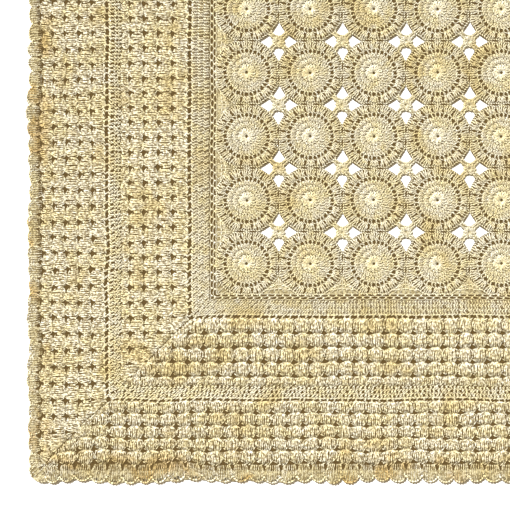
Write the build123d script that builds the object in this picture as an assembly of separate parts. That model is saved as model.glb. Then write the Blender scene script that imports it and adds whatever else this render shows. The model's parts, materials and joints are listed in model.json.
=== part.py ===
from build123d import *
import math
import os

# A crocheted lace throw, lying flat. Millimetres, +Z up, the cloth's underside on z = 0.
# The origin is at the middle of the throw: X runs across it, and Y along its length.
# A field of round wheel motifs is held by small joining motifs, and border bands are worked round it.
# The throw folds lengthways along three lines, so each band is cut where a fold line crosses it.

# Cloth
thickness = 5.0
gap = 0.3  # clearance between pieces that are worked into each other

# Field of wheel motifs
motif_pitch = 100.0
motif_columns = 6
motif_rows = 8

# Joining motif, between four wheels: a small body with four diagonal arms
joiner_radius = 11.0
joiner_arm_width = 9.0

# Filler, in each notch that the wheels leave along the field's edge
filler_depth = 22.0
filler_width = 64.0

# Border, from the field outwards
loop_edging_width = 8.0
solid_band_width = 26.0
inner_beading_width = 7.0
inner_shell_width = 101.5
close_band_width = 20.5
outer_beading_width = 7.0
outer_shell_width = 97.5
edging_base_width = 16.5
scallop_rise = 10.0
scallop_pitch = 25.0

# Worked out
motif_radius = (motif_pitch - gap) / 2
field_x = motif_columns * motif_pitch / 2
field_y = motif_rows * motif_pitch / 2
side_fold_x = field_x + loop_edging_width
mitre_shift = gap / math.sqrt(2)
BANDS = [
    ("solid_band", solid_band_width),
    ("inner_beading", inner_beading_width),
    ("inner_shell_band", inner_shell_width),
    ("close_band", close_band_width),
    ("outer_beading", outer_beading_width),
    ("outer_shell_band", outer_shell_width),
]
border_width = loop_edging_width + sum(width for _, width in BANDS)


def lattice(count):
    """Positions of count pieces along an axis, one pitch apart and centred on zero."""
    return [(i - (count - 1) / 2) * motif_pitch for i in range(count)]


def outline(*points):
    """A flat face with straight edges."""
    return make_face(Polyline(*points, close=True))


# Field

def wheel(x, y):
    """The outline of a wheel motif, which just clears its neighbours."""
    return (Pos(x, y) * Circle(motif_radius)).face()


def nearest_face(sketch, x, y):
    """Of the faces that cuts have left, the one nearest a point."""
    return min(sketch.faces(), key=lambda face: (face.center() - Vector(x, y, 0)).length)


def wheels_around(x, y):
    """The room that the four wheels about a lattice corner take, with the clearance about them."""
    half = motif_pitch / 2
    room = Circle(motif_radius + gap)
    return [Pos(x + dx, y + dy) * room for dx in (-half, half) for dy in (-half, half)]


def joiner(x, y):
    """The outline of a joining motif: a round body and two crossed bars that end at the wheels."""
    star = Pos(x, y) * Circle(joiner_radius)
    for turn in (45, -45):
        star += Pos(x, y) * Rot(0, 0, turn) * Rectangle(motif_pitch, joiner_arm_width)
    for room in wheels_around(x, y):
        star -= room
    return nearest_face(star, x, y)


def edge_filler(x, y, inward_x, inward_y):
    """A filler in a notch of the field's edge, whose base lies along that edge."""
    across = (filler_depth, filler_width) if inward_x else (filler_width, filler_depth)
    middle = (filler_depth + gap) / 2
    notch = Pos(x + inward_x * middle, y + inward_y * middle) * Rectangle(*across)
    for room in wheels_around(x, y):
        notch -= room
    return nearest_face(notch, x, y)


def corner_filler(side, end):
    """A filler between a corner wheel and the field's corner."""
    x, y = side * field_x, end * field_y
    reach = filler_width / 2
    middle = (reach + gap) / 2
    corner = Pos(x - side * middle, y - end * middle) * Rectangle(reach, reach)
    for room in wheels_around(x, y):
        corner -= room
    return nearest_face(corner, x, y)


def fillers(side):
    """All fillers of one half. Those on the centre line go with the left half."""
    across = [x for x in lattice(motif_columns - 1) if x * side > 0 or (x == 0 and side < 0)]
    faces = [edge_filler(side * field_x, y, -side, 0) for y in lattice(motif_rows - 1)]
    for end in (-1, 1):
        faces += [edge_filler(x, end * field_y, 0, -end) for x in across]
        faces.append(corner_filler(side, end))
    return faces


# Border

def mitre_x(distance):
    """Where a band's edge at this distance from the field ends, half a clearance short of the mitre."""
    return field_x + distance - mitre_shift


def side_corners(side, near, far):
    """Corners of a band's run along one side: inner edge, outer edge, and back to the inner edge."""
    inner_y, outer_y = field_y + near - mitre_shift, field_y + far - mitre_shift
    inner_x, outer_x = side * (field_x + near), side * (field_x + far)
    return [(inner_x, -inner_y), (outer_x, -outer_y), (outer_x, outer_y), (inner_x, inner_y)]


def end_corners(side, end, near, far, x_from=0):
    """Corners of a band's run along the foot or the head, from x_from out to the mitre of one half."""
    inner_y, outer_y = end * (field_y + near), end * (field_y + far)
    x = [x_from, x_from, mitre_x(far), mitre_x(near)]
    y = [inner_y, outer_y, outer_y, inner_y]
    return [(side * x[i], y[i]) for i in range(4)]


def end_runs(side, near, far, x_from, x_to):
    """A band's runs along the foot and the head, between two fold lines or as far as the mitre."""
    middle = side * (x_from + x_to) / 2
    window = Pos(middle, 0) * Rectangle(x_to - x_from - gap, 4 * (field_y + far))
    runs = [outline(*end_corners(side, end, near, far)) & window for end in (-1, 1)]
    return [face for run in runs for face in run.faces()]


def scalloped(inner_start, outer_start, outer_finish, inner_finish):
    """A run of the edging, with a row of scallops along the edge from outer_start to outer_finish."""
    first, last = Vector(*outer_start), Vector(*outer_finish)
    along = (last - first).normalized()
    outward = Vector(0, 0, 1).cross(along)
    if outward.dot(first - Vector(*inner_start)) < 0:
        outward = -outward
    count = max(1, round((last - first).length / scallop_pitch))
    feet = [first + (last - first) * (i / count) for i in range(count + 1)]
    rim = [ThreePointArc(a, (a + b) / 2 + outward * scallop_rise, b) for a, b in zip(feet, feet[1:])]
    inner = Polyline(last, inner_finish, inner_start, first)
    return make_face([*rim, *inner.edges()])


def edging_middle(side):
    """The scallop edging's runs on a middle panel, from the centre line to the side fold."""
    near, far = border_width + gap / 2, border_width + edging_base_width
    x_from, x_to = gap / 2, side_fold_x - gap / 2
    faces = []
    for end in (-1, 1):
        x = [x_from, x_from, x_to, x_to]
        y = [end * (field_y + distance) for distance in (near, far, far, near)]
        faces.append(scalloped(*[(side * x[i], y[i]) for i in range(4)]))
    return faces


def edging_side(side):
    """The scallop edging's runs on a side panel: the long side, and the ends from the fold to the mitre."""
    near, far = border_width + gap / 2, border_width + edging_base_width
    runs = [side_corners(side, near, far)]
    runs += [end_corners(side, end, near, far, side_fold_x + gap / 2) for end in (-1, 1)]
    return [scalloped(*corners) for corners in runs]


# The nodes

def save(node, faces):
    """Write one node, with a separate solid for each face."""
    solids = [extrude(face, amount=thickness, dir=(0, 0, 1)).solid() for face in faces]
    export_step(Compound(label=node, children=solids), f"parts/{node}.step")


def save_field():
    for number, x in enumerate(lattice(motif_columns), start=1):
        save(f"wheel_motifs_column_{number}", [wheel(x, y) for y in lattice(motif_rows)])
    for number, x in enumerate(lattice(motif_columns - 1), start=1):
        save(f"joining_motifs_column_{number}", [joiner(x, y) for y in lattice(motif_rows - 1)])


def save_border(half, side):
    """One half's fillers, loop edging and bands. A band is cut into a middle and a side panel."""
    save(f"edge_fillers_{half}", fillers(side))
    near, far = gap / 2, loop_edging_width - gap / 2
    loops = [outline(*side_corners(side, near, far))]
    save(f"loop_edging_{half}", loops + end_runs(side, near, far, 0, side_fold_x))
    start = loop_edging_width
    for name, width in BANDS:
        near, far = start + gap / 2, start + width - gap / 2
        save(f"{name}_{half}_middle", end_runs(side, near, far, 0, side_fold_x))
        side_run = outline(*side_corners(side, near, far))
        corner_runs = end_runs(side, near, far, side_fold_x, field_x + far)
        save(f"{name}_{half}_side", [side_run, *corner_runs])
        start += width
    save(f"scallop_edging_{half}_middle", edging_middle(side))
    save(f"scallop_edging_{half}_side", edging_side(side))


os.makedirs("parts", exist_ok=True)
save_field()
save_border("left", -1)
save_border("right", 1)
half_width = field_x + border_width + edging_base_width + scallop_rise
half_length = field_y + border_width + edging_base_width + scallop_rise
print(f"The throw is {2 * half_width:.0f} by {2 * half_length:.0f} by {thickness:.0f} mm.")
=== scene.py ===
# %% [markdown]
# # A crocheted lace throw, stitch by stitch
#
# The throw lies flat on a pale floor. Its CAD model is a set of plain slabs: wheels, small joining stars
# and border bands. Here every slab is replaced by yarn. A stitch is a short pair of strands wound about
# each other, and a finished edge is a row of slanted loops. All of it is computed as whole arrays, one
# array for a kind of stitch.
#
# Lengths are in millimetres until a mesh is made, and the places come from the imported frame.

# %% Frame
import json
import math

import bpy
import numpy as np
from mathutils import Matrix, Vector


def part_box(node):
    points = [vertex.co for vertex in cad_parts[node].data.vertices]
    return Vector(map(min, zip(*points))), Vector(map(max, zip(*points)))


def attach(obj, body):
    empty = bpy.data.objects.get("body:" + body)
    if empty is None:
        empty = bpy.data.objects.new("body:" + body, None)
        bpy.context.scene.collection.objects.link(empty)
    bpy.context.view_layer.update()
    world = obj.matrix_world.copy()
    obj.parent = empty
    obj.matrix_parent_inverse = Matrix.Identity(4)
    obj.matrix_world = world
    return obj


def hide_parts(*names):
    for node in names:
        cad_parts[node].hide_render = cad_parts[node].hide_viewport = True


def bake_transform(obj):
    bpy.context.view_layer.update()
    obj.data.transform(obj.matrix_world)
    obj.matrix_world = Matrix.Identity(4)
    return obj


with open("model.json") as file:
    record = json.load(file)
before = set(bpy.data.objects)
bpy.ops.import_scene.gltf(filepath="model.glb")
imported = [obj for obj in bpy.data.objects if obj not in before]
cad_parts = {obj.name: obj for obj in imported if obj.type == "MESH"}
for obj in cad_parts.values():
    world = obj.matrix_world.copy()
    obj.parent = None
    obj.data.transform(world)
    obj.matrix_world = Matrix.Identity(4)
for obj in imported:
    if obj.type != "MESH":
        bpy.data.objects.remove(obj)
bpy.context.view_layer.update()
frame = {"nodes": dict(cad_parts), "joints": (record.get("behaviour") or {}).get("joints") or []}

# %% [markdown]
# ## Places, read from the frame
#
# The field is a lattice of wheels. Border distances are measured outwards from the field's edge: a band
# runs from the reach of the band inside it to its own reach.

# %% Places

MM = 0.001


def box_mm(node):
    """Lowest and highest corner of a CAD node, in millimetres."""
    low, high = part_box(node)
    return np.array(low) / MM, np.array(high) / MM


def columns_of(stem):
    """The CAD nodes of a lattice column, from left to right."""
    return sorted(n for n in frame["nodes"] if n.startswith(stem))


WHEEL_NODES = columns_of("wheel_motifs_column_")
JOINER_NODES = columns_of("joining_motifs_column_")
first_column, second_column = box_mm(WHEEL_NODES[0]), box_mm(WHEEL_NODES[1])
PITCH = second_column[0][0] - first_column[0][0]
ROWS = round((first_column[1][1] - first_column[0][1]) / PITCH)
HALF_FIELD = np.array([len(WHEEL_NODES), ROWS]) * PITCH / 2
THICKNESS = first_column[1][2]
MIDDLE = THICKNESS / 2


def reach(node):
    """How far a left-hand border node reaches outwards from the field."""
    return -box_mm(node)[0][0] - HALF_FIELD[0]


BANDS = ["solid_band", "inner_beading", "inner_shell_band", "close_band", "outer_beading",
         "outer_shell_band", "scallop_edging"]
loop_reach = reach("loop_edging_left")
SPAN = {}
for band in BANDS:
    inner = SPAN[band_before][1] if SPAN else loop_reach
    SPAN[band] = (inner, reach(f"{band}_left_side"))
    band_before = band
BORDER = SPAN["scallop_edging"][1]
FOLD_X = HALF_FIELD[0] + loop_reach
print("wheel pitch", round(PITCH, 1), "border", round(BORDER, 1), "mm")
for band, (low, high) in SPAN.items():
    print(f"{band} from {low:.1f} to {high:.1f} mm")

# %% [markdown]
# ## How the cloth lies
#
# Stitches are laid out on a flat plan and then settled. The field is nearly flat. The border is looser, so
# it waves sideways and lifts a little more the further out it is, and the cloth gathers along each mitred
# corner.

# %% Settling


def smooth_step(x):
    """Zero below 0, one above 1, and a smooth rise between."""
    x = np.clip(x, 0, 1)
    return x * x * (3 - 2 * x)


def outward(x, y):
    """Distance outwards from the field's edge, negative inside it."""
    return np.maximum(np.abs(x) - HALF_FIELD[0], np.abs(y) - HALF_FIELD[1])


def ripple(u, v, length, seed):
    """A smooth wandering value from -1 to 1: three crossed sine waves of slightly different lengths."""
    a = np.sin(2 * np.pi * (u / length + 0.37 * v / length) + seed)
    b = np.sin(2 * np.pi * (v / (1.31 * length) - 0.29 * u / length) + 2.1 * seed)
    c = np.sin(2 * np.pi * (0.71 * u + 0.83 * v) / (0.83 * length) + 3.7 * seed)
    return (a + b + c) / 3


# How far the rounds have slipped outwards at distances from the field, on the long sides and at the ends
SLIP_AT = [0, 37, 48, 137, 155, 176, 240, 262, 280, 294]
SIDE_SLIP = [0, 2.0, 6.5, 7.0, 1.0, 5.0, 6.5, 7.0, 3.0, 0]
END_SLIP = [0, -4.0, -1.0, 0.0, -1.0, -3.0, -4.0, -3.0, -1.5, 0]
EDGE_SWAY = 3.2  # how far the throw's edge sways to either side
GATHER_WIDTH, GATHER_LENGTH = 26, 21  # half width of the gathered strip at a mitre, and a gather's length


def settle(points):
    """Moves points of the flat plan to where the cloth lies, in place of x, y and z."""
    x, y, z = points[..., 0], points[..., 1], points[..., 2]
    past_x, past_y = np.abs(x) - HALF_FIELD[0], np.abs(y) - HALF_FIELD[1]
    on_side = smooth_step((past_x - past_y) / 40 + 0.5)
    x = x + np.sign(x) * on_side * np.interp(past_x, SLIP_AT, SIDE_SLIP)
    y = y + np.sign(y) * (1 - on_side) * np.interp(past_y, SLIP_AT, END_SLIP)
    out = np.clip(outward(x, y) / BORDER, 0, 1)
    loose = 0.5 + 0.9 * out
    dx = loose * 1.5 * ripple(x, y, 120, 0.4) + EDGE_SWAY * out**2 * ripple(x, y, 83, 1.9)
    dy = loose * 1.5 * ripple(y, x, 131, 2.2) + EDGE_SWAY * out**2 * ripple(y, x, 91, 0.7)
    mitre = (np.abs(x) - HALF_FIELD[0]) - (np.abs(y) - HALF_FIELD[1])
    gathered = np.exp(-((mitre / GATHER_WIDTH) ** 2)) * smooth_step(out * 2.5)
    lift = 1.8 * gathered * (1 + np.cos(2 * np.pi * outward(x, y) / GATHER_LENGTH)) / 2
    lift += 1.6 * out**1.5 * (1 + ripple(x, y, 104, 5.1)) / 2
    lift += 1.4 * smooth_step(out * 3 - 1.8) * (1 + ripple(x, y, 47, 3.3)) / 2
    return np.stack([x + dx, y + dy, z + lift], -1)


# %% [markdown]
# ## Strands
#
# A strand is a thin tube with three or four sides, which looks round once it is shaded smoothly. Tubes are
# computed for all strands of one kind together: at each point the ring's side direction is the tangent
# crossed with up, and its lift direction is the side crossed with the tangent.

# %% Strands

rng = np.random.default_rng(11)


def unit(v):
    """Vectors scaled to length one."""
    return v / np.maximum(np.linalg.norm(v, axis=-1, keepdims=True), 1e-9)


def tube_mesh(paths, radius, sides):
    """Closed tubes round paths (strand, point, xyz): their points, faces and yarn coordinates.

    Each face corner has yarn coordinates: the distance along the strand in strand widths, and the share of a
    turn round it."""
    count, length, _ = paths.shape
    radius = np.broadcast_to(radius, (count, length))
    tangent = unit(np.gradient(paths, axis=1))
    side = unit(np.cross(tangent, [0.0, 0.0, 1.0]))
    lift = np.cross(side, tangent)
    turn = 2 * np.pi * (np.arange(sides) / sides) + np.pi / 2
    ring = side[:, :, None] * np.cos(turn)[:, None] + lift[:, :, None] * np.sin(turn)[:, None]
    points = paths[:, :, None] + radius[:, :, None, None] * ring
    index = np.arange(count * length * sides).reshape(count, length, sides)
    after = np.roll(index, -1, axis=2)
    walls = np.stack([index[:, :-1], index[:, 1:], after[:, 1:], after[:, :-1]], -1).reshape(-1, 4)
    steps = np.linalg.norm(np.diff(paths, axis=1), axis=-1)
    along = np.concatenate([np.zeros((count, 1)), np.cumsum(steps, 1)], 1)
    along = along / (2 * radius.mean(1, keepdims=True)) + rng.random((count, 1))
    wall_shape = (count, length - 1, sides)
    a0, a1 = (np.broadcast_to(a[..., None], wall_shape) for a in (along[:, :-1], along[:, 1:]))
    r0 = np.broadcast_to(np.arange(sides) / sides, wall_shape)
    r1 = r0 + 1 / sides
    wall_yarn = np.stack([np.stack(pair, -1) for pair in ((a0, r0), (a1, r0), (a1, r1), (a0, r1))], -2)
    caps = np.concatenate([index[:, 0], index[:, -1, ::-1]])
    cap_yarn = np.zeros((len(caps), sides, 2))
    return points.reshape(-1, 3), [(walls, wall_yarn.reshape(-1, 4, 2)), (caps, cap_yarn)]


class Yarn:
    """The strands of one piece of work: bundles of paths that share a number of points and of sides."""

    def __init__(self):
        self.bundles = []

    def add(self, paths, radius, sides=3):
        """Adds paths (strand, point, xyz) on the flat plan, with one radius or one per strand and point."""
        radius = np.broadcast_to(radius, paths.shape[:2]).copy()
        self.bundles.append((paths, radius, sides))

    def copies(self, places):
        """This yarn repeated at each place (x, y) on the plan."""
        other = Yarn()
        for paths, radius, sides in self.bundles:
            shift = np.pad(np.asarray(places, float), ((0, 0), (0, 1)))
            moved = (paths[None] + shift[:, None, None, :]).reshape(-1, *paths.shape[1:])
            other.add(moved, np.tile(radius, (len(places), 1)), sides)
        return other

    def within(self, low, high):
        """The strands whose middles have x from low to high."""
        other = Yarn()
        for paths, radius, sides in self.bundles:
            x = paths[:, :, 0].mean(1)
            chosen = (x >= low) & (x < high)
            if chosen.any():
                other.add(paths[chosen], radius[chosen], sides)
        return other

    def triangles(self):
        return sum(len(p) * (2 * s * (p.shape[1] - 1) + 2 * (s - 2)) for p, _, s in self.bundles)


# %% [markdown]
# ## Stitches
#
# A **post** is a pair of strands wound about the line from its foot to its head. A **loop** is a slanted
# drop of yarn between the heads of two neighbouring stitches, and a row of them is the ridge that ends
# each round.

# %% Stitches

STITCH = 4.57  # spacing of stitches in a row
POST = 4.0  # width of a post
FOOT_GAP, HEAD_GAP = 0.6, 0.9  # from a round's inner edge to its feet, and from its heads to its outer edge
UNDER = MIDDLE - 0.6  # height of the straight strands that lie under the posts


def twisted(yarn, line, width, turns, lift=0.0, start=0.0):
    """Adds a pair of strands wound about each line (post, point, xy).

    Each strand is a quarter of the width off the line, and a little more than that thick, so that the pair
    has no gap. It turns about the line, from side to top to side, as it goes along."""
    count, length, _ = line.shape
    width = np.broadcast_to(width, (count, length))
    tangent = unit(np.gradient(line, axis=1))
    side = np.stack([-tangent[..., 1], tangent[..., 0]], -1)
    share = np.linspace(0, 1, length)
    for half_turn in (0.0, np.pi):
        angle = np.broadcast_to(start + half_turn + 2 * np.pi * turns * share, (count, length))
        plan = line + side * (0.25 * width * np.cos(angle))[..., None]
        height = MIDDLE + lift + 0.25 * np.minimum(width, POST) * np.sin(angle)
        yarn.add(np.concatenate([plan, height[..., None]], -1), 0.305 * width)


def posts(yarn, feet, heads, width=POST, turns=0.85, taper=1.0, lift=0.0):
    """Posts from feet to heads, both (post, xy). taper is the width at the foot as a share of the head's."""
    share = np.linspace(0, 1, 4)
    heads = heads + rng.normal(0, 0.45, heads.shape)
    line = feet[:, None] + (heads - feet)[:, None] * share[:, None]
    line[:, 1:3] += rng.normal(0, 0.4, (len(feet), 2, 2))
    width = np.asarray(width, float).reshape(-1, 1) * (taper + (1 - taper) * share)
    start = rng.normal(0.6, 0.8, (len(feet), 1))
    twisted(yarn, line, width, turns, lift, start)


def at_height(line, height):
    """Lines (post, point, xy) given a height, as (post, point, xyz)."""
    return np.concatenate([line, np.full(line.shape[:2] + (1,), height)], -1)


def strands_between(yarn, feet, heads, radius, lift=0.0, closed=False):
    """Straight strands a little lower than the posts, one under the gap between each two neighbours."""
    ends = np.stack([feet, heads], 1)
    line = (ends + np.roll(ends, -1, 0)) / 2
    line = line if closed else line[:-1]
    yarn.add(at_height(line, UNDER + lift), radius)


def loops(yarn, heads, following, out, thick=1.15, rise=0.7, slant=1.2):
    """Slanted drops between heads and the heads that follow them. out points away from the posts."""
    step = following - heads
    first = heads + 0.02 * step - slant * out
    last = following - 0.02 * step + slant * out
    plan = np.stack([first, (first + last) / 2, last], 1)
    height = MIDDLE + np.array([-0.3, rise, -0.1])
    paths = np.concatenate([plan, np.broadcast_to(height[None, :, None], (len(heads), 3, 1))], -1)
    radius = thick * np.array([0.62, 1.0, 0.7]) * rng.uniform(0.92, 1.08, (len(heads), 1))
    yarn.add(paths, radius, sides=4)


def ring_of_loops(yarn, heads, out, **shape):
    """Loops round a ring of heads (stitch, xy), back to the first."""
    loops(yarn, heads, np.roll(heads, -1, 0), out, **shape)


def rows_of_loops(yarn, heads, out, **shape):
    """Loops along rows of heads (row, stitch, xy), all with one outward direction."""
    away = np.broadcast_to(out, heads[:, 1:].shape).reshape(-1, 2)
    loops(yarn, heads[:, :-1].reshape(-1, 2), heads[:, 1:].reshape(-1, 2), away, **shape)


# %% [markdown]
# ## Wheels
#
# A wheel is worked from its centre: a raised disc of tall stitches, two close rounds, a round of pairs
# with sixteen holes between them, and sixteen shells. Its rim is pressed flat where it meets its
# neighbours.

# %% Wheels

SHELLS = 16
ARCH = 37.6  # radius of the arches that the shells stand on


def polar(radius, angle):
    """Points at a radius and an angle from the centre."""
    return np.stack([radius * np.cos(angle), radius * np.sin(angle)], -1)


def rim_radius(angle, dip):
    """The wheel's rim: straight where neighbours press on it, round between, and dipping between shells."""
    folded = (angle + np.pi / 4) % (np.pi / 2) - np.pi / 4
    round_part = 1.06 * PITCH / 2
    rim = np.minimum(PITCH / 2 / np.cos(folded), round_part)
    return rim - dip * (1 - np.cos(SHELLS * angle)) / 2


def round_of_posts(yarn, count, foot, head, width, lean=0.25, taper=0.7, lift=0.0):
    """A round of posts between two radii, each leaning by a share of the spacing, and its ridge of loops.

    A straight strand lies under each gap."""
    angle = 2 * np.pi * np.arange(count) / count
    leaning = lean * 2 * np.pi / count
    ends = polar(foot, angle), polar(head - 0.5, angle + leaning)
    strands_between(yarn, *ends, np.array([0.28, 0.42]) * width, lift, closed=True)
    posts(yarn, polar(foot, angle), polar(head, angle + leaning), 1.1 * width, taper=taper, lift=lift)
    heads = polar(head + 0.4, angle + leaning)
    ring_of_loops(yarn, heads, unit(heads), rise=0.9 + lift)


def wheel_yarn():
    yarn = Yarn()
    round_of_posts(yarn, 16, 2.2, 12.8, 4.5, taper=0.35, lift=0.4)
    round_of_posts(yarn, 28, 14.4, 21.8, 4.2, lift=0.1)
    round_of_posts(yarn, 38, 23.2, 30.0, 4.2)
    spoke = 2 * np.pi * (np.arange(SHELLS) + 0.5) / SHELLS
    pair = (spoke[:, None] + np.array([-0.08, 0.08])).ravel()
    posts(yarn, polar(30.8, pair), polar(ARCH - 0.4, pair), 3.9)
    arch = 2 * np.pi * np.arange(SHELLS * 3) / (SHELLS * 3)
    ring_of_loops(yarn, polar(ARCH, arch), polar(1.0, arch), thick=1.05)
    fan = np.linspace(-1, 1, 5)
    centre = 2 * np.pi * np.arange(SHELLS) / SHELLS
    foot = (centre[:, None] + 0.11 * fan).ravel()
    head = (centre[:, None] + 0.155 * fan).ravel()
    posts(yarn, polar(ARCH, foot), polar(rim_radius(head, 2.2) - 2.2, head), 4.4, taper=0.8)
    rim = 2 * np.pi * (np.arange(SHELLS * 5) + 0.5) / (SHELLS * 5)
    ring_of_loops(yarn, polar(rim_radius(rim, 1.8) - 0.9, rim), polar(1.0, rim))
    return yarn


def joiner_yarn():
    """A small disc with four arms that reach the wheels' rims."""
    yarn = Yarn()
    round_of_posts(yarn, 10, 1.6, 8.8, 4.4, taper=0.5)
    reach_out = PITCH / math.sqrt(2) - rim_radius(np.pi / 4, 0)
    for quarter in range(4):
        angle = np.pi / 4 + quarter * np.pi / 2
        ahead, across = polar(1.0, angle), polar(1.0, angle + np.pi / 2)
        offset = np.array([-2.2, 2.2])[:, None] * across
        posts(yarn, 9.4 * ahead + offset, (reach_out + 1.0) * ahead + offset, 4.2, turns=1.1)
    return yarn


print("one wheel has", wheel_yarn().triangles(), "triangles, a joining motif", joiner_yarn().triangles())

# %% [markdown]
# ## Border
#
# A side of the border is described by its outward direction. Close rows keep the same number of stitches
# at their foot and their head, so they fan out a little towards the mitres and close there. Shells keep
# one spacing in all rounds, so the diamonds between them line up, and close posts take up what is left
# at the mitres.

# %% Border

OUTWARDS = np.array([[-1.0, 0.0], [0.0, -1.0], [1.0, 0.0], [0.0, 1.0]])
SIDES = [(out, np.array([out[1], -out[0]])) for out in OUTWARDS]
CORNERS = np.array([[-1, -1], [-1, 1], [1, -1], [1, 1]])


def side_point(side, along, distance):
    """The plan point at a signed distance along one side from its middle, and a distance outwards."""
    out, run = side
    half = np.abs(out) @ HALF_FIELD
    return out * (half + np.asarray(distance, float)[..., None]) + run * np.asarray(along, float)[..., None]


def half_run(side, distance):
    """Half the length of a side's run at a distance from the field, which is where the mitre is."""
    return np.abs(side[1]) @ HALF_FIELD + distance


def close_row(yarn, foot, head, spacing=STITCH, width=POST, turns=0.85, ridge=True, under=0.0):
    """One round of posts that fan towards the mitres, with its ridge of loops.

    under is the thickness of the straight strands under the gaps, if there are any."""
    for side in SIDES:
        count = 2 * round(half_run(side, (foot + head) / 2) / spacing)
        share = (np.arange(count) + rng.normal(0.5, 0.12, count)) / count * 2 - 1
        feet = side_point(side, share * half_run(side, foot), foot)
        heads = side_point(side, share * half_run(side, head), head)
        posts(yarn, feet, heads, width, turns)
        if under > 0:
            strands_between(yarn, feet, heads, under)
        if ridge:
            ridge_row(yarn, side, head + 0.4)


def ridge_row(yarn, side, distance, spacing=STITCH, **shape):
    """A row of loops along one side."""
    count = 2 * round(half_run(side, distance) / spacing)
    along = np.linspace(-1, 1, count + 1) * half_run(side, distance)
    rows_of_loops(yarn, side_point(side, along, distance)[None], side[0], **shape)


def loop_edging_yarn():
    """Three chains tied together by turns, which leaves two rows of long slits."""
    yarn = Yarn()
    space, sway, apart = 12.3, 0.7, 4.6
    for number in range(3):
        distance = -2.6 + apart * number
        for side in SIDES:
            run = half_run(side, distance)
            count = 2 * round(run / space)
            share = (np.arange(count)[:, None] + np.linspace(0, 1, 7)) / count * 2 - 1
            wave = distance + (-1) ** number * sway * np.cos(np.pi * (share + 1) * count)
            chain = side_point(side, share * run, wave)
            twisted(yarn, chain, 2.9, 2.0, start=rng.uniform(0, 6, (count, 1)))
            if number > 0:
                tie = ((np.arange(count) + (number - 1) / 2) / count * 2 - 1) * run
                feet = side_point(side, tie - 0.9, distance - apart + 0.8)
                heads = side_point(side, tie + 0.9, distance - 0.8)
                loops(yarn, feet, heads, np.broadcast_to(side[0], feet.shape), thick=1.6, slant=0.3)
    return yarn


def shell_places(side, foot, head, spacing):
    """Where a round's shells stand along a side. Columns of shells lean towards the corners further out."""
    run = half_run(side, (foot + head) / 2)
    lean = 0.035 * (foot + head)
    count = int((run - lean) / spacing - 0.5)
    centre = np.arange(-count, count + 1) * spacing
    return centre + lean * np.sign(centre) * (np.abs(centre) / run) ** 3


INNER_SHELL, OUTER_SHELL = 23.3, 24.6  # spacing of shells in the two bands
SHELL_FOOT = 2.6  # half width of a shell at its foot
ARCHED, FLAT = 0.36, 0.18  # how much shorter its outermost posts are than its middle one, as shares


def shells(yarn, side, foot, head, spacing, droop):
    """A round of shells along one side: fans of five wound posts, with straight strands under them.

    The posts leave the foot steeply and then run together, so the gap between shells is a small diamond."""
    centre = shell_places(side, foot, head, spacing)
    share = np.array([0, 0.23, 0.6, 1.0])
    opening = 1 - (1 - share) ** 8
    half_width = SHELL_FOOT + (spacing / 2 - 0.4 - SHELL_FOOT) * opening

    def lines(fan, end):
        """Lines (shell, strand, point) along the side and outwards, for strands at places across the fan."""
        along = centre[:, None, None] + fan[:, None] * half_width
        out = foot - 1.6 + ((head - foot) * (end - droop * np.abs(fan[:, None]) ** 2.5) + 1.6) * share
        return along + rng.normal(0, 0.4, along.shape), out + rng.normal(0, 0.3, along.shape)

    along, out = lines(np.array([-0.74, -0.25, 0.25, 0.74]), 0.97)
    yarn.add(at_height(side_point(side, along, out).reshape(-1, len(share), 2), UNDER), 2.5)
    along, out = lines(np.linspace(-1, 1, 5), 0.95)
    line = side_point(side, along, out).reshape(-1, len(share), 2)
    width = 5.0 * (0.76 + 0.24 * share) * rng.uniform(0.85, 1.2, (len(line), len(share)))
    twisted(yarn, line, width, 1.2, start=rng.uniform(0.0, 6.0, (len(line), 1)))
    heads = side_point(side, along[..., -1], out[..., -1] + 0.8)
    rows_of_loops(yarn, heads, side[0], thick=1.05, slant=1.3)


def shell_band_yarn(edges, spacing, last_droop):
    """Rounds of shells between successive distances from the field."""
    yarn = Yarn()
    for foot, head in zip(edges, edges[1:]):
        for side in SIDES:
            shells(yarn, side, foot, head, spacing, last_droop if head == edges[-1] else ARCHED)
    return yarn


def shared_edges(band, shares):
    """Distances from the field at shares of a band's width."""
    low, high = SPAN[band]
    return low + np.array(shares) * (high - low)


def close_rounds(band, **stitch):
    """Three close rounds, which fill a band."""
    yarn = Yarn()
    edges = shared_edges(band, [0, 1 / 3, 2 / 3, 1])
    for foot, head in zip(edges, edges[1:]):
        close_row(yarn, foot + FOOT_GAP, head - HEAD_GAP, **stitch)
    return yarn


def beading_yarn(band):
    """A row of single posts with slots between them, and a ridge of loops along both edges."""
    yarn = Yarn()
    low, high = SPAN[band]
    close_row(yarn, low, high - 1.2, spacing=11.7, width=4.4, ridge=False)
    for side in SIDES:
        for distance in (low + 0.2, high - 0.4):
            ridge_row(yarn, side, distance, spacing=5.9, thick=1.1)
    return yarn


SCALLOP = 25.0  # width of a scallop
ROUNDNESS = 0.8  # height of its round rim as a share of half its width


def scallop_yarn():
    """Scallops: fans with round heads, a rim of loops round each, and a wider fan at each corner."""
    yarn = Yarn()
    foot, head = SPAN["scallop_edging"]
    for side in SIDES:
        run = half_run(side, foot + 2)
        count = round(2 * run / SCALLOP)
        step = 2 * run / count
        centre = (np.arange(count) + 0.5) * step - run
        scallop(yarn, *side, side_point(side, centre, foot), step / 2, head - foot)
    for corner in CORNERS:
        ahead = corner / math.sqrt(2)
        start = corner * (HALF_FIELD + foot - 3.0)
        scallop(yarn, ahead, np.array([-ahead[1], ahead[0]]), start[None], 17.0, 1.25 * (head - foot))
    return yarn


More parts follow.
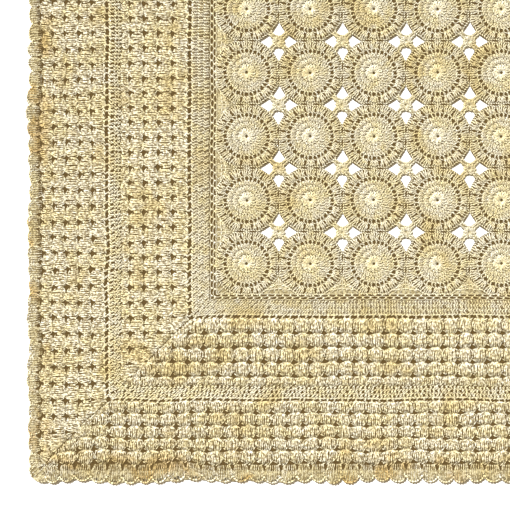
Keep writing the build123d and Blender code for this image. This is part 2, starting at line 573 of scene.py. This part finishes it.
def scallop(yarn, out, run, feet, half, height):
    """Fans of nine posts from each foot (fan, xy) to a round rim of a half width and a height."""
    angle = np.radians(np.linspace(-84, 84, 9))
    across = half * np.sin(angle)
    ahead = height - half * ROUNDNESS * (1 - np.cos(angle))
    share = np.linspace(0, 1, 5)
    opening = 1 - (1 - share) ** 2.2
    along = 0.65 * across[:, None] + (0.35 * across - 1.3 * np.sin(angle))[:, None] * opening
    outer = (ahead[:, None] - 2.2) * share
    shape = out * outer[..., None] + run * along[..., None]
    line = (feet[:, None, None] + shape).reshape(-1, len(share), 2)
    line = line + rng.normal(0, 0.25, line.shape)
    twisted(yarn, line, 4.0 * (0.7 + 0.3 * share), 1.9, start=rng.uniform(0.0, 6.0, (len(line), 1)))
    rim = feet[:, None] + out * (ahead - 1.5)[:, None] + 0.97 * run * across[:, None]
    away = unit(out * np.cos(angle)[:, None] + run * np.sin(angle)[:, None])
    away = np.broadcast_to(away[:-1], (len(feet), len(angle) - 1, 2)).reshape(-1, 2)
    loops(yarn, rim[:, :-1].reshape(-1, 2), rim[:, 1:].reshape(-1, 2), away, thick=1.8, slant=0.3)


inner_edges = shared_edges("inner_shell_band", [0, 0.205, 0.426, 0.647, 0.867, 1])
outer_edges = shared_edges("outer_shell_band", [0, 0.2, 0.405, 0.61, 0.808, 1])
border_yarn = {
    "solid_band": close_rounds("solid_band", under=1.0),
    "inner_beading": beading_yarn("inner_beading"),
    "inner_shell_band": shell_band_yarn(inner_edges, INNER_SHELL, FLAT),
    "close_band": close_rounds("close_band", spacing=6.0, width=5.2, turns=0.6),
    "outer_beading": beading_yarn("outer_beading"),
    "outer_shell_band": shell_band_yarn(outer_edges, OUTER_SHELL, ARCHED),
    "scallop_edging": scallop_yarn(),
}
for name, yarn in border_yarn.items():
    print(name, yarn.triangles(), "triangles")

# %% [markdown]
# ## Corners and fillers
#
# What is left between a side's last shell and the mitre is worked close, so the corner shows as a seam.
# The notches that the wheels leave along the field's edge are filled by fans of long posts.

# %% Corners and fillers


def corner_posts(yarn, edges, spacing):
    """Close posts from each round's last shell to the mitre, on both ends of each side."""
    for foot, head in zip(edges, edges[1:]):
        for side in SIDES:
            near, far = half_run(side, foot), half_run(side, head)
            begin = shell_places(side, foot, head, spacing)[-1] + spacing / 2
            room = far - begin - 2.0
            count = max(1, round(room / STITCH))
            head_along = begin + room * (np.arange(count) + 0.5) / count
            # Feet that would crowd at the inner corner start further out along the mitre
            foot_out = foot + (head - foot) * np.clip((head_along - near) / (far - near), 0, 0.75)
            foot_along = np.minimum(head_along, near + foot_out - foot - 1.0)
            for sign in (-1, 1):
                feet = side_point(side, sign * foot_along, foot_out)
                heads = side_point(side, sign * head_along, head - HEAD_GAP)
                posts(yarn, feet, heads, 4.9, taper=0.9, turns=1.4)
                strands_between(yarn, feet, heads, 1.8)
                if count > 1:
                    caps = side_point(side, np.sort(sign * head_along), head)
                    rows_of_loops(yarn, caps[None], side[0])


corner_posts(border_yarn["inner_shell_band"], inner_edges, INNER_SHELL)
corner_posts(border_yarn["outer_shell_band"], outer_edges, OUTER_SHELL)


FILLER_HEAD = -4.6  # distance from the field's edge where the fillers end, just inside the loop edging


def filler_yarn():
    """Fans of long posts in the notches along the field's edge, crossed by chains, and in its corners."""
    yarn = Yarn()
    fan = np.linspace(-1, 1, 7)
    for side in SIDES:
        half = np.abs(side[1]) @ HALF_FIELD
        centre = np.arange(-half + PITCH, half - 1, PITCH)
        feet_along = centre[:, None] + 7.5 * fan
        heads_along = centre[:, None] + 26.0 * np.sign(fan) * np.abs(fan) ** 1.1
        feet = side_point(side, feet_along, -27.0 + 9.0 * np.abs(fan))
        heads = side_point(side, heads_along, FILLER_HEAD)
        long_posts(yarn, feet, heads)
        for share in (0.4, 0.7):
            rows_of_loops(yarn, feet + (heads - feet) * share, side[0], slant=0.4)
    rim = polar(51.0, np.radians(45 - 27 * fan)) - PITCH / 2
    edge = FILLER_HEAD - 27.0 * np.stack([np.maximum(-fan, 0), np.maximum(fan, 0)], -1)
    for corner in CORNERS:
        long_posts(yarn, (corner * (HALF_FIELD + rim))[None], (corner * (HALF_FIELD + edge))[None])
    return yarn


def long_posts(yarn, feet, heads):
    """Posts of six points each from feet to heads, both (fan, post, xy)."""
    line = feet.reshape(-1, 1, 2) + (heads - feet).reshape(-1, 1, 2) * np.linspace(0, 1, 6)[:, None]
    twisted(yarn, line, 3.3, 2.0, start=rng.uniform(0, 6, (len(line), 1)))


# %% [markdown]
# ## Ground
#
# Between its strands real crochet shows more yarn in shade, and not what lies under it. A thin ground in the
# middle of the cloth stands for that yarn and also closes the small openings, such as the diamonds between
# the
# shells: its top is painted the dark brown of shade, and its underside is cream. Only the four large
# openings round each joining motif go right through.

# %% Ground

GROUND = 0.4  # its thickness
UPPER, LOWER = MIDDLE - 0.2, MIDDLE - 0.5  # heights of ground; what overlaps other ground is lower
RIM = 2.4  # how far the ground stays inside the scallops' edge


def slab(places, faces, height):
    """A closed slab on flat faces: its points, and groups of faces for its walls, top and underside.

    places is (point, xy), and faces is a list of arrays (face, corner). An edge of one face gets a wall."""
    turned = []
    for group in faces:
        x, y = places[group, 0], places[group, 1]
        area = (x * np.roll(y, -1, 1) - y * np.roll(x, -1, 1)).sum(1)
        turned.append(np.where((area < 0)[:, None], group[:, ::-1], group))
    edges = np.concatenate([np.stack([g, np.roll(g, -1, 1)], -1).reshape(-1, 2) for g in turned])
    keys = edges.min(1) * len(places) + edges.max(1)
    _, first, times = np.unique(keys, return_index=True, return_counts=True)
    rim = edges[first[times == 1]]
    low = np.concatenate([places, np.full((len(places), 1), height - GROUND / 2)], 1)
    points = np.concatenate([low, low + [0, 0, GROUND]])
    walls = np.stack([rim[:, 0], rim[:, 1], rim[:, 1] + len(places), rim[:, 0] + len(places)], 1)
    return points, [walls] + [g + len(places) for g in turned] + [g[:, ::-1] for g in turned]


def grid_faces(rows, columns, closed=False):
    """The cells of a grid of points numbered row by row. A closed grid's last column joins its first."""
    index = np.arange(rows * columns).reshape(rows, columns)
    after = np.roll(index, -1, 1)
    last = columns if closed else columns - 1
    cells = np.stack([index[:-1], after[:-1], after[1:], index[1:]], -1)[:, :last]
    return cells.reshape(-1, 4)


def border_ground(edges, spacing, rim=None):
    """Grids (places, faces) on the four sides between distances from the field, each ending at the mitres.

    rim gives the last row's distance from a place along the side, as a share of the run."""
    grids = []
    for side in SIDES:
        columns = 2 * round(half_run(side, edges[-1]) / spacing) + 1
        share = np.linspace(-1, 1, columns)
        out = np.repeat(np.array(edges)[:, None], columns, 1)
        if rim is not None:
            out[-1] = rim(side, share)
        half = half_run(side, np.minimum(out, edges[-1]))
        places = side_point(side, share * half, out).reshape(-1, 2)
        grids.append((places, [grid_faces(len(edges), columns)]))
    return grids


def scallop_rim(side, share):
    """Distance outwards of the scallops' edge, less the margin: round within each scallop's width."""
    foot, head = SPAN["scallop_edging"]
    run = half_run(side, foot + 2)
    count = round(2 * run / SCALLOP)
    across = ((share + 1) / 2 * count) % 1 * 2 - 1
    return head - RIM - ROUNDNESS * SCALLOP / 2 * (1 - np.sqrt(np.maximum(1 - across**2, 0)))


def disc_ground(radius, rings, corners, place):
    """A disc whose rim's radius varies with the angle: rings of quadrilaterals round one central face."""
    angle = 2 * np.pi * (np.arange(corners) + 0.5) / corners
    places = polar(np.array(rings)[:, None] * radius(angle), angle).reshape(-1, 2) + place
    return places, [grid_faces(len(rings), corners, closed=True), np.arange(corners)[None]]


def lattice(columns, rows):
    """Places of a lattice of motifs, column by column from left to right."""
    x = (np.arange(columns) - (columns - 1) / 2) * PITCH
    y = (np.arange(rows) - (rows - 1) / 2) * PITCH
    return np.stack(np.meshgrid(x, y, indexing="ij"), -1).reshape(-1, 2)


def arm_radius(angle):
    """The joining motif's outline: a disc with four arms."""
    off_arm = np.abs((angle % (np.pi / 2)) - np.pi / 4)
    arm_end = PITCH / math.sqrt(2) - rim_radius(np.pi / 4, 0) + 2.0
    return np.clip(3.4 / np.maximum(np.sin(off_arm), 0.01), 8.2, arm_end)


def notch_ground():
    """Ground under the fillers: from each notch's inner point to the field's edge, and the corners."""
    grids = []
    share = np.linspace(0, 1, 5)[:, None]
    for side in SIDES:
        half = np.abs(side[1]) @ HALF_FIELD
        for centre in np.arange(-half + PITCH, half - 1, PITCH):
            along = centre + np.linspace(-1, 1, 5) * (1.5 + 32.5 * share)
            places = side_point(side, along, -31.0 + 30.5 * share)
            grids.append((places.reshape(-1, 2), [grid_faces(5, 5)]))
    steps = np.array([[0.5, 0.5], [0.5, 34.0], [14.0, 16.0], [34.0, 0.5]])
    grids += [(corner * (HALF_FIELD - steps), [np.arange(4)[None]]) for corner in CORNERS]
    return grids


WHEELS = lattice(len(WHEEL_NODES), ROWS)
JOINERS = lattice(len(JOINER_NODES), ROWS - 1)
scallop_foot = SPAN["scallop_edging"][0]
edging_rows = [scallop_foot + 6.0, scallop_foot + 14.0, BORDER - RIM]
wheel_rings = [0.12, 0.4, 0.7, 1.0]
# Grids of ground and their heights. Kinds that overlap lie at heights of their own.
ground_grids = [
    ([disc_ground(lambda angle: rim_radius(angle, 0.0), wheel_rings, 32, place) for place in WHEELS], UPPER),
    ([disc_ground(arm_radius, [0.5, 1.0], 16, place) for place in JOINERS], LOWER),
    (notch_ground(), LOWER),
    (border_ground(np.linspace(-1.0, scallop_foot + 8.0, 32), 9.0), UPPER),
    (border_ground(edging_rows, SCALLOP / 6, scallop_rim), LOWER),
]
print(sum(len(f) for grids, _ in ground_grids for _, faces in grids for f in faces), "cells of ground")

# %% [markdown]
# ## Materials
#
# One cotton, with smaller lumps and less painted shade in the close work and bigger lumps and more painted
# shade in the shells and scallops, and a painted dark brown shade of it on the ground's top. The colour
# wanders between whiter and yellower patches, is painted darker near the middle of the cloth's thickness as
# shade between the strands, and is stained gold in places along the outer edge. The strands' sides, the
# creases between their wraps and small pits are painted with shade. The strands' twist is a set of slanting
# stripes in the yarn coordinates, which also feeds the bump.

# %% Shader maths


class Socket:
    """A shader output that can be added, multiplied and compared with others or with numbers."""

    def __init__(self, graph, output):
        self.graph, self.output = graph, output

    def maths(self, operation, *others):
        return self.graph.node("Math", [self, *others], operation=operation)

    def __add__(self, other):
        return self.maths("ADD", other)

    def __sub__(self, other):
        return self.maths("SUBTRACT", other)

    def __mul__(self, other):
        return self.maths("MULTIPLY", other)

    def between(self, low, high):
        """Zero below low, one above high, smooth in between. low may be above high."""
        options = {"interpolation_type": "SMOOTHSTEP"}
        if low > high:
            return self.graph.node("MapRange", {0: self, 1: high, 2: low, 3: 1.0, 4: 0.0}, **options)
        return self.graph.node("MapRange", {0: self, 1: low, 2: high, 3: 0.0, 4: 1.0}, **options)


class Graph:
    """A material's node tree, built by calls."""

    def __init__(self, name):
        self.material = bpy.data.materials.new(name)
        self.material.use_nodes = True
        self.tree = self.material.node_tree
        self.shader = next(n for n in self.tree.nodes if n.type == "BSDF_PRINCIPLED")

    def node(self, kind, inputs=(), output=0, **settings):
        """Makes a node, sets its options, plugs its inputs by place or by name, and returns one output."""
        made = self.tree.nodes.new("ShaderNode" + kind)
        for key, value in settings.items():
            setattr(made, key, value)
        pairs = inputs.items() if isinstance(inputs, dict) else enumerate(inputs)
        for key, value in pairs:
            self.plug(made.inputs[key], value)
        return Socket(self, made.outputs[output])

    def plug(self, socket, value):
        if isinstance(value, Socket):
            self.tree.links.new(value.output, socket)
        else:
            socket.default_value = value

    def mix(self, factor, first, second):
        """A colour between two others. Inputs 6 and 7 of the mix node are its colours, as is output 2."""
        return self.node("Mix", {0: factor, 6: first, 7: second}, output=2, data_type="RGBA")

    def noise(self, place, scale, detail=2.0, roughness=0.5):
        inputs = {"Vector": place, "Scale": scale, "Detail": detail, "Roughness": roughness}
        return self.node("TexNoise", inputs)

    def give(self, **inputs):
        """Plugs the shader's inputs, whose names are written with underscores."""
        for name, value in inputs.items():
            self.plug(self.shader.inputs[name.replace("_", " ")], value)
        return self.material


def rgb(red, green, blue):
    return (red, green, blue, 1.0)


# %% Cotton

WHITE_YARN, CREAM_YARN, OLD_YARN = rgb(0.98, 0.96, 0.82), rgb(0.96, 0.88, 0.55), rgb(0.84, 0.70, 0.34)
# STAIN is a real gold stain. The next two colours are painted shade: the deep shade between strands, and the
# dark brown shade on the ground's top.
STAIN, PAINTED_DEEP_SHADE, PAINTED_GROUND_SHADE = rgb(0.76, 0.47, 0.10), rgb(0.20, 0.135, 0.045), rgb(0.080, 0.051, 0.019)
DRY = {"Roughness": 0.95, "Specular_IOR_Level": 0.05}  # the finish of washed cotton


def cotton_graph(name):
    """A material's graph, the place on the flat plan in metres, its z, and its share of the border."""
    g = Graph(name)
    place = g.node("Attribute", output=1, attribute_name="plan")
    x, y, z = (g.node("SeparateXYZ", [place], output=i) for i in range(3))
    past_x = x.maths("ABSOLUTE") - HALF_FIELD[0] * MM
    past_y = y.maths("ABSOLUTE") - HALF_FIELD[1] * MM
    return g, place, z, past_x.maths("MAXIMUM", past_y) * (1 / (BORDER * MM))


def yarn_cotton(name, lumps_and_shade):
    """Cream cotton: whiter and yellower patches, gold stains towards the edge and a ply twist, with painted
    shade on the strands' sides, in the creases between their wraps, in small pits and near the middle of the
    cloth's thickness.

    The second argument is how deep the small lumps of the stitches are, and how dark the painted shade is on
    the strands' sides and in the pits between the lumps."""
    g, place, z, out = cotton_graph(name)
    patches = g.noise(place, 24.0, 3.0, 0.65).between(0.42, 0.60)
    strands = g.noise(place, 200.0, 2.0).between(0.38, 0.62)
    colour = g.mix(patches * 0.6 + strands * 0.4, WHITE_YARN, CREAM_YARN)
    age = g.noise(place, 13.0, 3.0, 0.6).between(0.50, 0.68)
    colour = g.mix(age * 0.75, colour, OLD_YARN)
    stain = g.noise(place, 17.0, 3.0, 0.6).between(0.52, 0.64) * out.between(0.78, 0.95)
    colour = g.mix(stain * 0.65, colour, STAIN)
    yarn = g.node("UVMap", uv_map="Yarn")
    along, around = (g.node("SeparateXYZ", [yarn], output=i) for i in range(2))
    # Painted shade on the strands' sides, between neighbouring strands, broken up by noise.
    flank = around.maths("PINGPONG", 0.5)
    broken_side_shade = g.noise(place, 330.0, 1.0).between(0.35, 0.6) * (0.3 + 0.4 * lumps_and_shade)
    colour = g.mix(flank.between(0.12, 0.26) * flank.between(0.5, 0.36) * broken_side_shade, colour, PAINTED_DEEP_SHADE)
    # Painted shade in small pits between the lumps of the stitches.
    pit_shade = g.noise(place, 270.0, 1.0).between(0.47, 0.56)
    colour = g.mix(pit_shade * lumps_and_shade, colour, PAINTED_DEEP_SHADE)
    # Painted shade: the yarn is darker near the middle of the cloth's thickness, deep among the strands.
    inner = (z - MIDDLE * MM).maths("ABSOLUTE").between(0.0012, 0.0002)
    colour = g.mix(inner * 0.5, colour, PAINTED_DEEP_SHADE)
    stripe = (along * 0.9 + around).maths("FRACT").maths("PINGPONG", 0.5) * 2.0
    colour = g.mix(stripe.between(0.4, 0.0) * 0.35, colour, OLD_YARN)
    # Painted shade in the creases between the wraps of each strand.
    wrap_shade = (along * 0.43 + around).maths("FRACT").maths("PINGPONG", 0.5)
    colour = g.mix(wrap_shade.between(0.14, 0.04) * 0.5, colour, PAINTED_DEEP_SHADE)
    lumps = g.noise(place, 215.0, 1.0) * -8.0 * lumps_and_shade
    height = stripe.between(0.0, 0.6) * 0.8 + g.noise(place, 1500.0, 2.0) * 0.5 + lumps
    g.give(Normal=g.node("Bump", {"Height": height, "Strength": 0.6, "Distance": 0.0005}))
    return g.give(Base_Color=colour, **DRY)


def ground_cotton():
    """The same cotton deep between the stitches: its top painted the dark brown of shade with a little
    grain, and its underside cream with painted shade in its pits.
    """
    g, place, z, _ = cotton_graph("cotton_ground_painted_shade")
    grain = g.noise(place, 420.0, 2.0).between(0.3, 0.7)
    # Painted shade in small pits, used on the underside.
    pit_shade = g.noise(place, 215.0, 1.0).between(0.44, 0.56)
    under = z.between((UPPER - 0.05) * MM, (UPPER - 0.15) * MM)
    back = g.mix(pit_shade * 0.6 + 0.1, CREAM_YARN, PAINTED_DEEP_SHADE)
    g.give(Normal=g.node("Bump", {"Height": grain, "Strength": 0.5, "Distance": 0.0004}))
    # The top is painted the dark brown of shade; the underside is cream.
    return g.give(Base_Color=g.mix(under, g.mix(grain * 0.3, PAINTED_GROUND_SHADE, PAINTED_DEEP_SHADE), back), **DRY)


yarn_material = yarn_cotton("cotton_yarn", 0.3)
shell_material = yarn_cotton("cotton_shells", 0.75)
ground_material = ground_cotton()
print("materials", [m.name for m in (yarn_material, shell_material, ground_material)])

# %% [markdown]
# ## Meshes
#
# Every piece gets a flat map of the plan, which suits cloth that is the same colour on both faces, and the
# yarn pieces also get their yarn coordinates.

# %% Meshes


def make_object(name, plan, points, faces, material, yarn_corners=None):
    """One object from its points on the flat plan, its settled points and groups of faces (face, corner)."""
    mesh = bpy.data.meshes.new(name)
    corners = np.concatenate([f.ravel() for f in faces])
    kept, corners = np.unique(corners, return_inverse=True)
    plan, points = plan[kept], points[kept]
    totals = np.concatenate([np.full(len(f), f.shape[1]) for f in faces])
    mesh.vertices.add(len(points))
    mesh.vertices.foreach_set("co", (points * MM).astype(np.float32).ravel())
    mesh.loops.add(len(corners))
    mesh.loops.foreach_set("vertex_index", corners.astype(np.int32))
    mesh.polygons.add(len(totals))
    mesh.polygons.foreach_set("loop_start", (np.cumsum(totals) - totals).astype(np.int32))
    mesh.polygons.foreach_set("use_smooth", np.full(len(totals), yarn_corners is not None))
    places = mesh.attributes.new("plan", "FLOAT_VECTOR", "POINT")
    places.data.foreach_set("vector", (plan * MM).astype(np.float32).ravel())
    low, high = points[:, :2].min(0), points[:, :2].max(0)
    flat = (points[:, :2] - low) / (high - low).max() * 0.98 + 0.01
    bake = mesh.uv_layers.new(name="OFBake")
    bake.uv.foreach_set("vector", flat[corners].astype(np.float32).ravel())
    if yarn_corners is not None:
        layer = mesh.uv_layers.new(name="Yarn")
        layer.uv.foreach_set("vector", yarn_corners.astype(np.float32).ravel())
    mesh.materials.append(material)
    mesh.update(calc_edges=True)
    made = bpy.data.objects.new(name, mesh)
    bpy.context.scene.collection.objects.link(made)
    return made


def yarn_object(name, yarn, nodes, material=yarn_material):
    """The object for a piece's yarn, which stands for CAD nodes."""
    plan, points, faces, corner_yarn, used = [], [], [], [], 0
    for paths, radius, sides in yarn.bundles:
        flat_points, groups = tube_mesh(paths, radius, sides)
        plan.append(flat_points)
        points.append(settle(flat_points))
        for group, coordinates in groups:
            faces.append(group + used)
            corner_yarn.append(coordinates.reshape(-1, 2))
        used += len(flat_points)
    plan, points = np.concatenate(plan), np.concatenate(points)
    made = make_object(name, plan, points, faces, material, np.concatenate(corner_yarn))
    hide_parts(*nodes)
    print(name, yarn.triangles(), "triangles")
    return made


# %% [markdown]
# ## Pieces on their bodies
#
# Motif columns away from the centre line ride on their panel. A bend width for each fold line is worked out
# from the height of its axis, but the bend functions only bake a piece's transform: the border pieces and
# the motif columns near the centre line ride on no panel and do not bend.

# %% Fold lines

axis_height = {joint["name"]: joint["pos_m"][2] / MM for joint in frame["joints"]}
SIDE_BEND = 1.2 * axis_height["left_fold"]
CENTRE_BEND = 1.2 * axis_height["centre_fold"]


def bend_left(piece):
    start, end = -(FOLD_X - SIDE_BEND) * MM, -(FOLD_X + SIDE_BEND) * MM
    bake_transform(piece)


def bend_middle(piece):
    start, end = -CENTRE_BEND * MM, CENTRE_BEND * MM
    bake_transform(piece)


def bend_right(piece):
    start, end = (FOLD_X - SIDE_BEND) * MM, (FOLD_X + SIDE_BEND) * MM
    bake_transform(piece)


PART_X = 1.54 * PITCH  # where a band changes from its side part to its middle part
FAR = 2 * (HALF_FIELD[0] + BORDER)
PARTS = {
    "left": (-FAR, -PART_X, bend_left),
    "middle": (-PART_X, PART_X, bend_middle),
    "right": (PART_X, FAR, bend_right),
}

# %% Motifs

made_pieces = {"left": [], "middle": [], "right": []}


def place_motifs(nodes, places, one, stem):
    """One piece for each column of motifs. A column near the centre line only has its transform baked; the
    others ride on their side's panel.
    """
    for node, x in zip(nodes, sorted(set(places[:, 0]))):
        column = places[places[:, 0] == x]
        piece = yarn_object(f"{stem}_{node[-1]}", one.copies(column), [node])
        part = "middle" if abs(x) < 0.6 * PITCH else "left" if x < 0 else "right"
        if part == "middle":
            bend_middle(piece)
        else:
            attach(piece, f"{part}_centre")
        made_pieces["middle" if abs(x) < PART_X else part].append(piece)


place_motifs(WHEEL_NODES, WHEELS, wheel_yarn(), "wheels")
place_motifs(JOINER_NODES, JOINERS, joiner_yarn(), "joiners")

# %% Border pieces


def part_nodes(band, part):
    """The CAD nodes that a part of a band stands for."""
    if part == "middle":
        return [f"{band}_left_middle", f"{band}_right_middle"]
    return [f"{band}_{part}_middle", f"{band}_{part}_side"]


CLOSE_WORK = ("solid_band", "close_band", "inner_beading", "outer_beading")


def place_band(name, yarn, nodes_of, material=yarn_material):
    for part, (low, high, bend) in PARTS.items():
        chosen = yarn.within(low, high)
        piece = yarn_object(f"{name}_yarn_{part}", chosen, nodes_of(name, part), material)
        bend(piece)
        made_pieces[part].append(piece)


def half_nodes(name, part):
    """The CAD nodes of a band that is cut only at the centre line."""
    return [f"{name}_{half}" for half in ("left", "right") if part in (half, "middle")]


for band, yarn in border_yarn.items():
    slot = "edging_yarn" if band == "scallop_edging" else "border_yarn"
    place_band(band, yarn, part_nodes, yarn_material if band in CLOSE_WORK else shell_material)
place_band("loop_edging", loop_edging_yarn(), half_nodes)
place_band("edge_fillers", filler_yarn(), half_nodes)
print(sum(len(p.data.vertices) for pieces in made_pieces.values() for p in pieces), "vertices of yarn")

# %% Ground pieces


def place_ground(part):
    """The ground of one part of the throw, which is the cloth's sheet, with the part's yarn on it."""
    low, high, bend = PARTS[part]
    plan, faces, used, area = [], [], 0, 0.0
    for grids, height in ground_grids:
        for places, groups in grids:
            chosen = [g[(places[g, 0].mean(1) >= low) & (places[g, 0].mean(1) < high)] for g in groups]
            if not any(len(g) for g in chosen):
                continue
            points, slab_groups = slab(places, chosen, height)
            plan.append(points)
            faces += [group + used for group in slab_groups if len(group)]
            used += len(points)
            for group in chosen:
                x, y = places[group, 0], places[group, 1]
                area += np.abs((x * np.roll(y, -1, 1) - y * np.roll(x, -1, 1)).sum(1)).sum() / 2
    plan = np.concatenate(plan)
    piece = make_object(f"ground_{part}", plan, settle(plan), faces, ground_material)
    bend(piece)
    width, length = flat_size(plan, faces) * MM
    print(part, "ground", round(area * MM * MM, 4), "square metres in", np.round((width, length), 3))


def flat_size(plan, faces):
    """Width and length on the flat plan of the points that faces use."""
    kept = plan[np.unique(np.concatenate([f.ravel() for f in faces]))]
    return (kept.max(0) - kept.min(0))[:2]


for part in PARTS:
    place_ground(part)

# %% [markdown]
# ## Floor, light and camera
#
# The throw is seen from straight above, with its lower left quarter in view. A broad sun stands beyond the
# head of the throw, and a pale sky fills the shadows.

# %% Stage


def floor():
    mesh = bpy.data.meshes.new("floor")
    size = 30.0
    corners = [(-size, -size, 0), (size, -size, 0), (size, size, 0), (-size, size, 0)]
    mesh.from_pydata(corners, [], [(0, 1, 2, 3)])
    g = Graph("floor")
    g.give(Base_Color=rgb(0.97, 0.97, 0.97), Roughness=0.9, Specular_IOR_Level=0.0)
    mesh.materials.append(g.material)
    made = bpy.data.objects.new("floor", mesh)
    made.location.z = -0.0003  # just under the cloth
    bpy.context.scene.collection.objects.link(made)


def sun(name, azimuth, elevation, strength, softness, tint):
    """A distant light. Azimuth is the compass direction it comes from, clockwise from +Y."""
    light = bpy.data.lights.new(name, "SUN")
    light.energy, light.angle, light.color = strength, math.radians(softness), tint
    made = bpy.data.objects.new(name, light)
    made.rotation_euler = (math.radians(90 - elevation), 0, math.radians(180 - azimuth))
    bpy.context.scene.collection.objects.link(made)


def sky(strength, tint):
    world = bpy.data.worlds.new("sky")
    world.use_nodes = True
    background = world.node_tree.nodes["Background"]
    background.inputs[0].default_value = rgb(*tint)
    background.inputs[1].default_value = strength
    bpy.context.scene.world = world


def camera(centre, width):
    """A long lens straight above a point of the floor, as wide as asked at the floor."""
    data = bpy.data.cameras.new("camera")
    data.lens, data.sensor_width = 85.0, 36.0
    made = bpy.data.objects.new("camera", data)
    height = width * data.lens / data.sensor_width
    made.location = (centre[0], centre[1], height)
    data.clip_end = 100.0
    bpy.context.scene.collection.objects.link(made)
    bpy.context.scene.camera = made


floor()
bpy.context.scene.view_settings.view_transform = "Standard"
sun("key", azimuth=-36, elevation=50, strength=5.7, softness=5, tint=(0.98, 0.99, 1.0))
sky(strength=0.36, tint=(1.0, 0.82, 0.56))
VIEW_WIDTH = 8.04 * PITCH * MM
MARGIN = 0.045  # clear floor beside the throw in the view
low_corner = np.array([-(HALF_FIELD[0] + BORDER), -(HALF_FIELD[1] + BORDER)]) * MM
camera(low_corner + VIEW_WIDTH / 2 - MARGIN, VIEW_WIDTH)

# %% Finish

bpy.context.view_layer.update()
